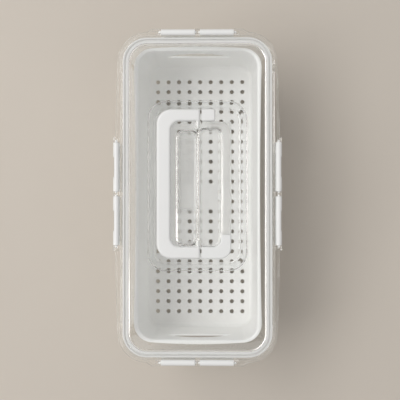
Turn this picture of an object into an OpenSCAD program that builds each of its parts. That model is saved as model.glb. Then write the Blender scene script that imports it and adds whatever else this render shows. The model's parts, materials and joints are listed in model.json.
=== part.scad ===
// Fridge organizer box: a clear body with a white drain basket standing in it, a clear lid with a
// sealing ring, eight latch flaps and a carry handle that folds flat into a recess of the lid.
// Millimetres. The box lies on its foot, lid up: X across, Y along, Z up, origin under the middle.

/* [Body] */
// Width of the opening between the inner faces of the rim
opening_w = 139; // [110:1:180]
// Length of the opening between the inner faces of the rim
opening_l = 310; // [260:1:380]
// Inside corner radius of the opening
opening_r = 19; // [15:1:25]
// Height from the foot to the top of the rim
body_h = 125; // [100:1:170]
// Wall thickness
body_wall = 2.2; // [1.6:0.1:3]
// How far each wall leans in from the rim to the floor
body_lean = 4.5; // [2:0.5:6]
// Inside radius between wall and floor
body_floor_r = 6; // [3:0.5:8]
// Height of the foot ring below the floor
foot_h = 2.5; // [1.5:0.5:5]
// Thickness of the foot ring
foot_t = 2.2; // [1.6:0.1:3]
// Width of the rim, from the inner face outward
rim_w = 8.5; // [8:0.1:9]
// Thickness of the rim
rim_t = 2.3; // [1.8:0.1:3]
// Depth of the rim's down-turned edge, which the latches hook under
rim_drop = 5.5; // [4.5:0.1:7]
// Thickness of the down-turned edge
rim_edge_t = 2; // [1.6:0.1:2.4]
// Radius of the rim's outer edge
rim_edge_r = 2; // [1:0.1:2.2]

/* [Basket] */
// How far the basket's rim lies below the rim of the box
basket_drop = 13; // [9:1:40]
// Gap between the basket's lip and the wall, on the long sides
basket_gap_side = 3.9; // [2:0.1:8]
// Gap between the basket's lip and the wall at the handle end
basket_gap_back = 0.5; // [0.4:0.1:4]
// Gap between the basket's lip and the wall at the other end
basket_gap_front = 5.3; // [3:0.1:8]
// Wall thickness
basket_wall = 1.8; // [1.4:0.1:2.5]
// How far each wall leans in from the rim to the floor
basket_lean = 2.4; // [1:0.1:5]
// Outside corner radius at the rim
basket_r = 18; // [14:1:22]
// Radius between wall and floor
basket_floor_r = 6; // [3:0.5:8]
// Width of the lip around the rim
lip_w = 2.9; // [2.5:0.1:4]
// Depth of the lip's down-turned edge
lip_drop = 4; // [2.5:0.5:6]
// Radius of the turn from the wall into the lip
lip_turn_r = 2.6; // [1:0.1:2.8]
// How far the long sides of the lip curve in at the middle
lip_hollow = 1.6; // [0:0.1:2]
// How far the short sides of the lip curve out at the middle
lip_crown = 1.7; // [0:0.1:2]
// Height of the feet that hold the basket off the floor
basket_foot_h = 5; // [3:0.5:12]
// Diameter of the feet
basket_foot_d = 8; // [5:0.5:9]
// Diameter of the drain holes
hole_d = 4.4; // [3:0.1:6]
// Columns of drain holes
hole_columns = 9; // [5:2:9]
// Rows of drain holes
hole_rows = 24; // [16:2:24]
// Distance of the outer columns from the side walls, at the floor
hole_margin_side = 11; // [9:0.1:16]
// Distance of the outer rows from the end walls, at the floor
hole_margin_end = 17.2; // [12:0.1:24]
// Width of the grip slot in each end wall
slot_w = 68; // [50:1:80]
// Height of the grip slot
slot_h = 23; // [16:1:26]
// Distance from the rim down to the top of the grip slot
slot_drop = 18; // [14:1:26]

/* [Lid] */
// Thickness of the lid's plate
plate_t = 2.6; // [2:0.1:3.5]
// Width of the lid's border outside the opening, at the corners
border_w = 10.4; // [10:0.1:11.5]
// How far the long edges of the lid bow out at the middle
edge_bow = 3; // [2.5:0.1:3.4]
// Thickness of the skirt under the lid's edge
skirt_t = 1.4; // [1:0.1:1.6]
// Depth of the skirt below the plate
skirt_drop = 3.6; // [2:0.1:4]
// Width of the raised edge over the end latches
ear_w = 102; // [96:1:110]
// How far the slopes at its ends run
ear_slope = 5; // [3:0.5:8]
// Depth that the plug reaches below the plate
plug_h = 6; // [4:0.5:9]
// Thickness of the plug
plug_t = 1.7; // [1.2:0.1:2.4]
// Height of the sealing ring, pressed
seal_h = 2.4; // [1.8:0.1:3.2]
// Width of the sealing ring
seal_w = 5.8; // [5:0.1:6]
// Thickness of the bead that holds the sealing ring in
bead_t = 1; // [0.8:0.1:1.1]

/* [Recess] */
// Room between the grip and the side of the recess, at the lid's top
recess_room_side = 8; // [7:0.1:14]
// Room between the handle's arms and the ends of the recess, with the handle in the middle
recess_room_end = 9.25; // [9:0.05:20]
// Corner radius of the recess at the lid's top
recess_r = 18; // [15:1:24]
// Depth of the recess
recess_h = 10.2; // [10.2:0.1:13]
// How far the recess walls lean in
recess_lean = 6.5; // [3:0.5:7]
// How far the recess lies off centre, toward the handle end
recess_shift = 11.3; // [0:0.1:20]
// Radius between the recess walls and its floor
recess_floor_r = 2.4; // [1:0.1:4]
// Radius of the recess's upper edge
recess_edge_r = 1.2; // [0.5:0.1:2]
// Thickness of the recess walls, its floor and the pockets
recess_t = 2.2; // [1.6:0.1:3]
// Depth of the finger pocket below the recess floor
pocket_h = 8; // [4:0.5:9]
// Depth of the pocket beside it
side_pocket_h = 5.5; // [3:0.5:8]
// How far the pocket reaches from the hinge line, on the grip side
pocket_reach = 20.6; // [14:0.1:22]
// How far the pocket reaches on the other side
side_pocket_reach = 23.2; // [16:0.1:28]
// How much shorter the pocket on the grip side is, at each end
pocket_inset = 2.4; // [0:0.1:6]
// How far the pocket walls lean in
pocket_lean = 1.6; // [0.8:0.1:2.4]
// Radius of the pockets' upper edges
pocket_edge_r = 0.8; // [0.4:0.1:0.9]
// Corner radius of the pockets
pocket_r = 6; // [4.5:0.5:8]
// Ledge between the back arm and the pockets
pocket_ledge = 7.7; // [7:0.1:10]
// Height of the ridge beside the pocket
ridge_h = 5; // [3:0.5:8]
// Width of the ridge
ridge_w = 10.4; // [8:0.1:12]
// Radius of the ridge's upper edges
ridge_edge_r = 1.5; // [0.5:0.1:2]

/* [Handle] */
// Distance from the hinge line to the outside of the grip
handle_reach = 41.4; // [34:0.1:41.6]
// Length over both arms
handle_l = 150; // [130:1:150]
// How far the handle lies off the middle of the recess
handle_shift = 2.1; // [0:0.1:2.1]
// Width of the grip
grip_w = 14; // [10:0.5:16]
// Width of each arm
arm_w = 12; // [9:0.5:13]
// Thickness of the handle
handle_t = 9.2; // [7:0.1:9.6]
// Outside corner radius
handle_r = 15; // [10:0.5:18]
// Inside corner radius
handle_inner_r = 9.5; // [5:0.5:12]
// Radius of the handle's upper edges
handle_edge_r = 2.4; // [1.5:0.1:2.8]
// Wall thickness of the handle, which is hollow underneath
handle_wall = 2.2; // [1.6:0.1:3]
// Number of ribs across the hollow of the grip
grip_ribs = 9; // [3:1:13]
// Thickness of the ribs
rib_t = 1.6; // [1:0.1:2.4]
// Distance of the hinge line from the lid's top and from the ends of the arms
hinge_inset = 2.3; // [2.1:0.1:2.8]
// Diameter of the hinge pins on the arms
hinge_pin_d = 3.2; // [2.6:0.1:3.4]
// Length of the hinge pins
hinge_pin_l = 6; // [4:0.5:8]
// Place of the hinge line across the lid
hinge_x = 0.4; // [-1:0.1:2]
// Gap between the arms and the fixed caps
cap_gap = 1.6; // [1:0.1:2.5]
// Length of the short cap
cap_l = 13.6; // [10:0.1:16]

/* [Latches] */
// Length of each latch on the long sides
side_latch_l = 49; // [36:1:52]
// Length of each latch on the short sides
end_latch_l = 34; // [28:1:36]
// How far the side latches lie off centre, toward the handle end
side_latch_shift = 3.4; // [0:0.1:8]
// Distance from the rim's inner face to the outside of the side latches
side_latch_out = 15.2; // [15:0.1:16]
// Distance from the rim's inner face to the outside of the end latches
end_latch_out = 13.8; // [13.5:0.1:14.5]
// Diameter of the latch barrels and of the lid's knuckles
barrel_d = 6.2; // [5.8:0.1:6.2]
// Diameter of the pins at the ends of the barrels
latch_pin_d = 3; // [2.4:0.1:3.4]
// Width of the knuckles at the ends of each pair
knuckle_w = 5; // [4:0.5:6]
// Width of the knuckle between the two latches of a pair
middle_knuckle_w = 4.4; // [4:0.2:6]
// Height of a latch below its hinge line
latch_h = 26; // [20:1:32]
// Thickness of the flap
flap_t = 2.3; // [1.8:0.1:2.6]
// How far the hook reaches in under the rim's edge
hook_bite = 1.5; // [1:0.1:1.8]
// Width of the finger relief in the flaps on the long sides
relief_w = 20; // [12:1:24]
// Depth of the finger relief
relief_h = 1; // [0.5:0.1:1.2]

/* [Clearances] */
// Between a pin and its bore, across
pin_gap = 0.2; // [0.1:0.05:0.3]
// Between a turning piece and what it turns beside
turn_gap = 0.3; // [0.25:0.05:0.4]
// Between the plug and the opening
plug_gap = 0.5; // [0.3:0.05:0.8]
// Between the sealing ring and its groove
seal_gap = 0.15; // [0.1:0.05:0.3]

/* [Hidden] */
$fn = 64;
over = 1;
clear_colour = [0.86, 0.89, 0.90, 0.45];
white_colour = [0.95, 0.95, 0.94];
silicone_colour = [0.90, 0.91, 0.91, 0.8];
// Half distances between the centres of the opening's corners: rim, seal and plug all turn about them
core_x = opening_w / 2 - opening_r;
core_y = opening_l / 2 - opening_r;
floor_top = foot_h + body_wall;
rim_r = opening_r + rim_w;
rim_fillet_r = 1;
mouth_r = 0.6;
// Sealing ring and the lid's groove for it, as distances from the corner centres
plug_r = opening_r - plug_gap;
seal_r_in = plug_r + seal_gap;
seal_r_out = seal_r_in + seal_w;
bead_r = seal_r_out + seal_gap + bead_t;
bead_drop = seal_h - 0.4;
plug_lead = 0.7;
seal_slot_w = 1.2;
seal_slot_h = 1.4;
seal_slot_in = 1.9;
plate_z = body_h + seal_h;
lid_top = plate_z + plate_t;
border_r = opening_r + border_w;
// Recess, handle and hinge line
recess_w = 2 * (handle_reach - hinge_x + recess_room_side);
recess_l = handle_l + 2 * recess_room_end;
recess_y = recess_shift;
handle_y = recess_shift + handle_shift;
recess_floor = lid_top - recess_h;
hinge_z = lid_top - hinge_inset;
arm_inner_y = handle_l / 2 - arm_w;
spine_w = 2;
pocket_floor_r = 2;
// Each pocket as [from, to, inset, depth], with distances from the hinge line
POCKETS = [
    [-pocket_reach, -spine_w / 2, pocket_inset, pocket_h],
    [spine_w / 2, side_pocket_reach, 0, side_pocket_h],
];
ridge_wall = 1.8;
hinge_boss_w = hinge_pin_d + pin_gap + 2.8;
hinge_boss_l = hinge_pin_l + 2;
cap_x = hinge_inset + cap_gap;
cap_r = 2.5;
cap_edge_r = 1.6;
corner_cap_rise = 12;
corner_cap_r = 11;
corner_cap_inner_r = 7.5;
under_chamfer = 1;
// Latches
barrel_r = barrel_d / 2;
hinge_line_z = lid_top - barrel_r;
side_axis_r = opening_r + side_latch_out - barrel_r;
end_axis_r = opening_r + end_latch_out - barrel_r;
notch_r = barrel_r + turn_gap;
hook_top = body_h - rim_drop - turn_gap - hinge_line_z;
end_pin_l = 2.4;
middle_pin_l = 1.7;
lip_rise = 6.5;
// Basket
lip_run = body_lean * (basket_drop + lip_drop) / (body_h - floor_top - body_floor_r);
basket_w = opening_w - 2 * (lip_run + basket_gap_side + lip_w);
basket_l = opening_l - 2 * (lip_run + lip_w) - basket_gap_back - basket_gap_front;
basket_shift = (basket_gap_front - basket_gap_back) / 2;
basket_core_x = basket_w / 2 - basket_r;
basket_core_y = basket_l / 2 - basket_r;
basket_z = floor_top + basket_foot_h;
basket_top = body_h - basket_drop;
hole_pitch_x = (basket_w - 2 * (basket_lean + basket_wall + hole_margin_side)) / (hole_columns - 1);
hole_pitch_y = (basket_l - 2 * (basket_lean + basket_wall + hole_margin_end)) / (hole_rows - 1);

// Points of an arc, in equal steps
function arc(cx, cy, r, from, to, steps) =
    [for (i = [0 : steps]) let (a = from + (to - from) * i / steps) [cx + r * cos(a), cy + r * sin(a)]];

function reversed(list) = [for (i = [len(list) - 1 : -1 : 0]) list[i]];

// One side of a rounded rectangle whose sides bow out, counterclockwise: bow is the rise at its middle
function bowed_side(half, reach, bow, steps) =
    [for (i = [1 : steps - 1]) let (t = -1 + 2 * i / steps) [half + bow * (1 - t * t), reach * t]];

// Outline of a rounded rectangle with bowed sides
function bowed_outline(half_x, half_y, r, bow_x, bow_y) =
    let (
        cx = half_x - r,
        cy = half_y - r,
        right = bowed_side(half_x, cy, bow_x, 12),
        back = [for (p = bowed_side(half_y, cx, bow_y, 8)) [-p[1], p[0]]],
        half = concat(right, arc(cx, cy, r, 0, 90, 12), back, arc(-cx, cy, r, 90, 180, 12))
    )
    concat(half, [for (p = half) -p]);

// Solid whose side follows a profile of [distance, height] points around a rectangle with round corners
module moulded(half_x, half_y, profile) {
    low = profile[0][1];
    high = profile[len(profile) - 1][1];
    for (x = [-half_x, half_x], y = [-half_y, half_y])
        translate([x, y, 0])
            rotate_extrude()
                polygon(concat([[0, low]], profile, [[0, high]]));
    rotate([90, 0, 0])
        linear_extrude(2 * half_y, center = true)
            across(half_x, profile);
    rotate([90, 0, 90])
        linear_extrude(2 * half_x, center = true)
            across(half_y, profile);
}

// The profile and its mirror image, moved out to half the core's width and joined
module across(half, profile) {
    right = [for (p = profile) [half + p[0], p[1]]];
    polygon(concat(right, reversed([for (p = right) [-p[0], p[1]]])));
}

// Ring between two distances from the corner centres of the opening
module rim_ring(inner, outer, low, high) {
    difference() {
        moulded(core_x, core_y, [[outer, low], [outer, high]]);
        moulded(core_x, core_y, [[inner, low - over], [inner, high + over]]);
    }
}

// Profiles of a wall with a rounded upper edge: one for the outside and one for a hole to take out
function outer_edge(r, low, high, edge_r, low_edge) = concat(
    [[r - low_edge, low], [r, low + low_edge]],
    arc(r - edge_r, high - edge_r, edge_r, 0, 90, 4)
);
function inner_edge(r, low, high, edge_r, low_edge) = concat(
    [[r + low_edge, low - over], [r + low_edge, low], [r, low + low_edge]],
    arc(r + edge_r, high - edge_r, edge_r, 180, 90, 4),
    [[r + edge_r, high + over]]
);

// Clear body: leaning walls, rounded floor, foot ring and a rim with a down-turned edge
module body() {
    base_r = opening_r - body_lean;
    turn_z = floor_top + body_floor_r;
    turn_r = base_r - body_floor_r;
    rim_low = body_h - rim_drop;
    outside = concat(
        arc(turn_r, turn_z, body_floor_r + body_wall, -90, 0, 6),
        arc(opening_r + body_wall + rim_fillet_r, body_h - rim_t - rim_fillet_r, rim_fillet_r, 180, 90, 3),
        [
            [rim_r - rim_edge_t, body_h - rim_t],
            [rim_r - rim_edge_t, rim_low],
            [rim_r, rim_low],
        ],
        arc(rim_r - rim_edge_r, body_h - rim_edge_r, rim_edge_r, 0, 90, 6)
    );
    inside = concat(
        arc(turn_r, turn_z, body_floor_r, -90, 0, 6),
        arc(opening_r + mouth_r, body_h - mouth_r, mouth_r, 180, 90, 2),
        [[opening_r + mouth_r, body_h + over]]
    );
    color(clear_colour)
        difference() {
            union() {
                moulded(core_x, core_y, outside);
                rim_ring(turn_r - foot_t, turn_r, 0, foot_h + body_wall / 2);
            }
            moulded(core_x, core_y, inside);
        }
}

// White drain basket: leaning walls, lip, feet, grip slots and a grid of drain holes
module basket() {
    base_r = basket_r - basket_lean;
    turn_z = basket_z + basket_floor_r;
    turn_r = base_r - basket_floor_r;
    outside = concat(
        arc(turn_r, turn_z, basket_floor_r, -90, 0, 6),
        [[basket_r, basket_top]]
    );
    inside = concat(
        arc(turn_r, turn_z, basket_floor_r - basket_wall, -90, 0, 6),
        arc(basket_r - basket_wall + lip_turn_r, basket_top - lip_turn_r, lip_turn_r, 180, 90, 5),
        [[basket_r - basket_wall + lip_turn_r, basket_top + over]]
    );
    color(white_colour)
        translate([0, basket_shift, 0])
            difference() {
                union() {
                    moulded(basket_core_x, basket_core_y, outside);
                    basket_lip();
                    basket_feet();
                }
                moulded(basket_core_x, basket_core_y, inside);
                drain_holes();
                grip_slots();
            }
}

// Lip around the basket's rim: its long sides curve in a little and its short sides out
module basket_lip() {
    lip_t = basket_wall;
    half_x = basket_w / 2 + lip_w;
    half_y = basket_l / 2 + lip_w - lip_crown;
    corner_r = basket_r + lip_w - lip_crown;
    translate([0, 0, basket_top - lip_drop])
        linear_extrude(lip_drop)
            difference() {
                polygon(bowed_outline(half_x, half_y, corner_r, -lip_hollow, lip_crown));
                polygon(bowed_outline(half_x - lip_t, half_y - lip_t, corner_r - lip_t, -lip_hollow, lip_crown));
            }
    translate([0, 0, basket_top - lip_t])
        linear_extrude(lip_t)
            polygon(bowed_outline(half_x, half_y, corner_r, -lip_hollow, lip_crown));
}

// Six round feet, each between four drain holes
module basket_feet() {
    foot_x = hole_pitch_x * floor((hole_columns - 1) / 2 - 0.5) + hole_pitch_x / 2;
    foot_y = hole_pitch_y * (hole_rows / 2 - 1);
    for (x = [-foot_x, foot_x], y = [-foot_y, 0, foot_y])
        translate([x, y, floor_top])
            cylinder(d = basket_foot_d, h = basket_foot_h + basket_wall / 2);
}

// Grid of drain holes, with six left out in the middle
module drain_holes() {
    middle_x = (hole_columns - 1) / 2;
    middle_y = (hole_rows - 1) / 2;
    for (i = [0 : hole_columns - 1], j = [0 : hole_rows - 1])
        if (abs(i - middle_x) > 1.5 || abs(j - middle_y) > 1)
            translate([(i - middle_x) * hole_pitch_x, (j - middle_y) * hole_pitch_y, basket_z - over])
                cylinder(d = hole_d, h = basket_wall + 2 * over, $fn = 24);
}

// Grip slot in each end wall: flat below, arched above
module grip_slots() {
    slot_r = (slot_w * slot_w / 4 + slot_h * slot_h) / (2 * slot_h);
    slot_z = basket_top - slot_drop - slot_h;
    intersection() {
        translate([0, 0, slot_z + slot_h - slot_r])
            rotate([90, 0, 0])
                cylinder(r = slot_r, h = opening_l, center = true, $fn = 96);
        translate([-slot_w / 2, -opening_l / 2, slot_z])
            cube([slot_w, opening_l, slot_h + over]);
    }
}

// Soft sealing ring between the lid and the rim, with a slot along its top
module sealing_ring() {
    color(silicone_colour)
        difference() {
            rim_ring(seal_r_in, seal_r_out, body_h, plate_z);
            rim_ring(
                seal_r_out - seal_slot_in - seal_slot_w, seal_r_out - seal_slot_in, plate_z - seal_slot_h,
                plate_z + over
            );
        }
}

// Plan of the lid, drawn in by inset all round: bowed long edges and a raised edge over the end latches
module lid_plan(inset) {
    half_x = core_x + border_r - inset;
    half_y = core_y + border_r - inset;
    polygon(bowed_outline(half_x, half_y, border_r - inset, edge_bow, 0));
    ear_y = core_y + opening_r + end_latch_out - inset;
    for (end = [0, 180])
        rotate(end)
            polygon([
                [-ear_w / 2 + inset, half_y - over],
                [ear_w / 2 - inset, half_y - over],
                [ear_w / 2 - inset, half_y],
                [ear_w / 2 - ear_slope - inset / 2, ear_y],
                [-ear_w / 2 + ear_slope + inset / 2, ear_y],
                [-ear_w / 2 + inset, half_y],
            ]);
}

// Clear lid: plate, skirt, plug, bead, recess with pockets, ridge and hinge spine, latch knuckles
module lid() {
    color(clear_colour)
        difference() {
            union() {
                difference() {
                    union() {
                        lid_shell();
                        recess_shell();
                    }
                    recess_hollow();
                }
                hinge_spine();
                ridge();
                all_knuckles();
            }
            ridge_hollow();
            spine_bores();
            knuckle_bores();
        }
}

module lid_shell() {
    difference() {
        union() {
            translate([0, 0, plate_z])
                linear_extrude(plate_t)
                    lid_plan(0);
            translate([0, 0, plate_z - skirt_drop])
                linear_extrude(skirt_drop)
                    difference() {
                        lid_plan(0);
                        lid_plan(skirt_t);
                    }
        }
        latch_notches();
    }
    difference() {
        moulded(core_x, core_y, [
            [plug_r - plug_lead, plate_z - plug_h],
            [plug_r, plate_z - plug_h + 2 * plug_lead],
            [plug_r, plate_z],
        ]);
        moulded(core_x, core_y, [[plug_r - plug_t, plate_z - plug_h - over], [plug_r - plug_t, plate_z + over]]);
    }
    rim_ring(bead_r - bead_t, bead_r, plate_z - bead_drop, plate_z);
}

// Places each child at the middle of a latch pair: 0 and 2 are the long sides, 1 and 3 the short sides
module at_side(side) {
    place = side % 2 == 0 ? core_x + axis_r(side) : core_y + axis_r(side);
    along = side == 0 ? side_latch_shift : side == 2 ? -side_latch_shift : 0;
    rotate(side * 90)
        translate([place, along, hinge_line_z])
            children();
}

// Distance of a latch's hinge line from the corner centres of the opening
function axis_r(side) = side % 2 == 0 ? side_axis_r : end_axis_r;

function latch_l(side) = side % 2 == 0 ? side_latch_l : end_latch_l;

// Distance from the middle of a pair to the middle of each of its latches
function latch_place(side) = middle_knuckle_w / 2 + turn_gap + latch_l(side) / 2;

// Room in the lid's edge for the eight latches
module latch_notches() {
    for (side = [0 : 3], hand = [-1, 1])
        at_side(side)
            translate([-notch_r, hand * latch_place(side) - latch_l(side) / 2 - turn_gap, -barrel_d])
                cube([barrel_d + 2 * notch_r, latch_l(side) + 2 * turn_gap, 2 * barrel_d]);
}

// Knuckles that carry the latches
module all_knuckles() {
    for (side = [0 : 3])
        at_side(side) {
            knuckle(side, 0, middle_knuckle_w);
            for (hand = [-1, 1])
                knuckle(side, hand * end_knuckle_place(side), knuckle_w);
        }
}

// Bores for the latch pins, through the middle knuckles and into the end ones
module knuckle_bores() {
    for (side = [0 : 3])
        at_side(side)
            rotate([90, 0, 0])
                cylinder(d = latch_pin_d + pin_gap, h = 2 * end_knuckle_place(side) + over, center = true);
}

function end_knuckle_place(side) = middle_knuckle_w / 2 + 2 * turn_gap + latch_l(side) + knuckle_w / 2;

// A knuckle and the web behind it, which stays clear of the rim
module knuckle(side, along, width) {
    web = axis_r(side) - rim_r - turn_gap;
    translate([0, along, 0]) {
        rotate([90, 0, 0])
            cylinder(r = barrel_r, h = width, center = true);
        translate([-web, -width / 2, -barrel_r])
            cube([web, width, barrel_d]);
    }
}

// Outside of a hollow's wall, which leans out by run over rise above a floor with a rounded turn
function hollow_shell(r, run, rise, floor_z, turn_r, wall_t, top_z) =
    let (
        slope = atan(rise / run),
        turn_x = r - run - turn_r * tan(slope / 2),
        wall_x = turn_x + (turn_r + wall_t) * sin(slope),
        wall_z = floor_z + turn_r - (turn_r + wall_t) * cos(slope)
    )
    concat(
        arc(turn_x, floor_z + turn_r, turn_r + wall_t, -90, slope - 90, 5),
        [[wall_x + (top_z - wall_z) / tan(slope), top_z]]
    );

// The hollow itself, with a rounded upper edge
function hollow_inside(r, run, rise, floor_z, turn_r, edge_r) =
    let (
        slope = atan(rise / run),
        turn_x = r - run - turn_r * tan(slope / 2),
        edge_x = r + edge_r * tan(slope / 2),
        edge_z = floor_z + rise - edge_r
    )
    concat(
        arc(turn_x, floor_z + turn_r, turn_r, -90, slope - 90, 5),
        arc(edge_x, edge_z, edge_r, 90 + slope, 90, 4),
        [[edge_x, edge_z + edge_r + over]]
    );

// Walls and floor of the recess and of the pockets below it
module recess_shell() {
    recess(hollow_shell(
        recess_r, recess_lean, recess_h, recess_floor, recess_floor_r, recess_t, lid_top - plate_t / 2
    ));
    for (p = POCKETS)
        pocket(p, hollow_shell(
            pocket_r, pocket_lean, p[3], recess_floor - p[3], pocket_floor_r, recess_t, recess_floor - recess_t / 2
        ));
}

module recess_hollow() {
    recess(hollow_inside(recess_r, recess_lean, recess_h, recess_floor, recess_floor_r, recess_edge_r));
    for (p = POCKETS)
        pocket(p, hollow_inside(
            pocket_r, pocket_lean, p[3], recess_floor - p[3], pocket_floor_r, pocket_edge_r
        ));
}

module recess(profile) {
    translate([0, recess_y, 0])
        moulded(recess_w / 2 - recess_r, recess_l / 2 - recess_r, profile);
}

// Pocket below the recess floor: p is [from, to, inset, depth], across from the hinge line
module pocket(p, profile) {
    front_y = -arm_inner_y + p[2];
    back_y = arm_inner_y - pocket_ledge - p[2];
    translate([hinge_x + (p[0] + p[1]) / 2, handle_y + (front_y + back_y) / 2, 0])
        moulded((p[1] - p[0]) / 2 - pocket_r, (back_y - front_y) / 2 - pocket_r, profile);
}

// Rib between the two pockets, with a boss at each end for the handle's pins
module hinge_spine() {
    spine_l = 2 * (arm_inner_y - turn_gap);
    translate([hinge_x, handle_y, 0]) {
        translate([-spine_w / 2, -spine_l / 2, recess_floor - recess_t / 2])
            cube([spine_w, spine_l, hinge_z + spine_w / 2 - recess_floor + recess_t / 2]);
        for (end = [-1, 1])
            translate([0, end * (spine_l - hinge_boss_l) / 2, 0]) {
                translate([0, 0, hinge_z])
                    rotate([90, 0, 0])
                        cylinder(r = hinge_inset, h = hinge_boss_l, center = true);
                translate([-hinge_boss_w / 2, -hinge_boss_l / 2, recess_floor - recess_t / 2])
                    cube([hinge_boss_w, hinge_boss_l, hinge_z - recess_floor + recess_t / 2]);
            }
    }
}

// Blind bores in the bosses for the handle's pins
module spine_bores() {
    for (end = [-1, 1])
        translate([hinge_x, handle_y + end * (arm_inner_y - hinge_boss_l / 2 + over), hinge_z])
            rotate([90, 0, 0])
                cylinder(d = hinge_pin_d + pin_gap, h = hinge_boss_l, center = true);
}

// Raised ridge that carries the line of the handle on around the side pocket, hollow underneath
module ridge() {
    ridge_form(0, recess_floor - recess_t / 2, recess_floor + ridge_h);
}

module ridge_hollow() {
    ridge_form(ridge_wall, recess_floor - recess_t - over, recess_floor + ridge_h - recess_t);
}

// Form of the ridge, drawn in by inset all round
module ridge_form(inset, low, high) {
    half_x = side_pocket_reach + ridge_w - inset;
    half_y = arm_inner_y - turn_gap - inset;
    outer_r = corner_cap_r - inset;
    inner_r = pocket_r + inset;
    translate([hinge_x, handle_y, 0])
        difference() {
            intersection() {
                moulded(half_x - outer_r, half_y - outer_r, outer_edge(outer_r, low, high, ridge_edge_r, 0));
                translate([corner_cap_r + inset, corner_cap_rise - arm_inner_y + turn_gap + inset, low])
                    cube([half_x, 2 * half_y, high - low]);
            }
            moulded(
                side_pocket_reach + inset - inner_r,
                arm_inner_y - pocket_ledge + inset - inner_r,
                inner_edge(inner_r, low, high, ridge_edge_r, 0)
            );
        }
}

// White carry handle, folded flat: its pins point at each other and turn in the spine's bosses
module carry_handle() {
    low = lid_top - handle_t;
    grip_x = handle_reach - grip_w;
    color(white_colour)
        translate([hinge_x, handle_y, 0]) {
            difference() {
                moulded(
                    handle_reach - handle_r,
                    handle_l / 2 - handle_r,
                    outer_edge(handle_r, low, lid_top, handle_edge_r, under_chamfer)
                );
                moulded(
                    grip_x - handle_inner_r,
                    arm_inner_y - handle_inner_r,
                    inner_edge(handle_inner_r, low, lid_top, handle_edge_r, under_chamfer)
                );
                translate([hinge_inset, -handle_l, low - over])
                    cube([2 * handle_reach, 2 * handle_l, 2 * handle_t]);
                arm_end_rounding();
                handle_hollow();
            }
            for (end = [-1, 1])
                translate([0, end * (arm_inner_y - (hinge_pin_l - over) / 2), hinge_z])
                    rotate([90, 0, 0])
                        cylinder(d = hinge_pin_d, h = hinge_pin_l + over, center = true);
        }
}

// Channel under the grip and the arms, crossed by ribs; the arms are solid near the hinge
module handle_hollow() {
    low = lid_top - handle_t - over;
    high = lid_top - handle_wall;
    grip_x = handle_reach - grip_w;
    rib_pitch = 2 * (arm_inner_y - handle_inner_r) / (grip_ribs - 1);
    difference() {
        moulded(
            handle_reach - handle_r,
            handle_l / 2 - handle_r,
            [[handle_r - handle_wall, low], [handle_r - handle_wall, high]]
        );
        moulded(
            grip_x - handle_inner_r,
            arm_inner_y - handle_inner_r,
            [[handle_inner_r + handle_wall, low - over], [handle_inner_r + handle_wall, high + over]]
        );
        translate([-arm_w, -handle_l, low - over])
            cube([handle_reach + arm_w, 2 * handle_l, 2 * handle_t]);
        for (i = [0 : grip_ribs - 1])
            translate([-handle_reach, (i - (grip_ribs - 1) / 2) * rib_pitch - rib_t / 2, low - over])
                cube([grip_w, rib_t, 2 * handle_t]);
        translate([-grip_x + handle_wall, -handle_l, low - over])
            cube([rib_t, 2 * handle_l, 2 * handle_t]);
    }
}

// Takes the upper corner off both arm ends, round about the hinge line
module arm_end_rounding() {
    difference() {
        translate([0, -handle_l, hinge_z])
            cube([hinge_inset + over, 2 * handle_l, hinge_inset + over]);
        translate([0, 0, hinge_z])
            rotate([90, 0, 0])
                cylinder(r = hinge_inset, h = 2 * handle_l, center = true);
    }
}

// Short white cap that ends the back arm's line
module handle_cap_back() {
    color(white_colour)
        translate([hinge_x, handle_y, 0])
            intersection() {
                translate([cap_x, arm_inner_y + arm_w / 2, 0])
                    moulded(
                        cap_l - cap_r,
                        arm_w / 2 - cap_r,
                        outer_edge(cap_r, recess_floor, lid_top, cap_edge_r, under_chamfer)
                    );
                translate([cap_x, 0, recess_floor - over])
                    cube([2 * cap_l, handle_l, recess_h + 2 * over]);
            }
}

// Corner cap that ends the front arm's line and turns into the ridge
module handle_cap_front() {
    end_x = side_pocket_reach + ridge_w;
    rise_y = -arm_inner_y + corner_cap_rise;
    color(white_colour)
        translate([hinge_x, handle_y, 0])
            difference() {
                intersection() {
                    moulded(
                        end_x - corner_cap_r,
                        handle_l / 2 - corner_cap_r,
                        outer_edge(corner_cap_r, recess_floor, lid_top, cap_edge_r, under_chamfer)
                    );
                    translate([cap_x, -handle_l, recess_floor - over])
                        cube([end_x, handle_l + rise_y, recess_h + 2 * over]);
                }
                moulded(
                    side_pocket_reach - corner_cap_inner_r,
                    arm_inner_y - corner_cap_inner_r,
                    inner_edge(corner_cap_inner_r, recess_floor, lid_top, cap_edge_r, under_chamfer)
                );
            }
}

// Rectangle with round corners, between two corners of its box
module round_rect(x0, x1, y0, y1, r) {
    for (x = [x0 + r, x1 - r], y = [y0 + r, y1 - r])
        translate([x, y])
            circle(r);
    translate([x0 + r, y0])
        square([x1 - x0 - 2 * r, y1 - y0]);
    translate([x0, y0 + r])
        square([x1 - x0, y1 - y0 - 2 * r]);
}

// Section of a latch about its hinge line: flap, hook and finger lip
function latch_section(hook_x) =
    let (inner = barrel_r - flap_t, low = -latch_h)
    [
        [barrel_r, 0], [inner, 0], [inner, hook_top], [hook_x, hook_top], [hook_x, hook_top - 1.2],
        [hook_x + 1.4, hook_top - 3], [inner, hook_top - 5.5], [inner, low + 6], [inner + 0.5, low + 3],
        [inner + 1.1, low + 0.5], [inner + 1.6, low], [barrel_r + 0.6, low], [barrel_r + 1, low + 0.6],
        [barrel_r + 0.5, low + 3.4], [barrel_r, low + lip_rise],
    ];

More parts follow.
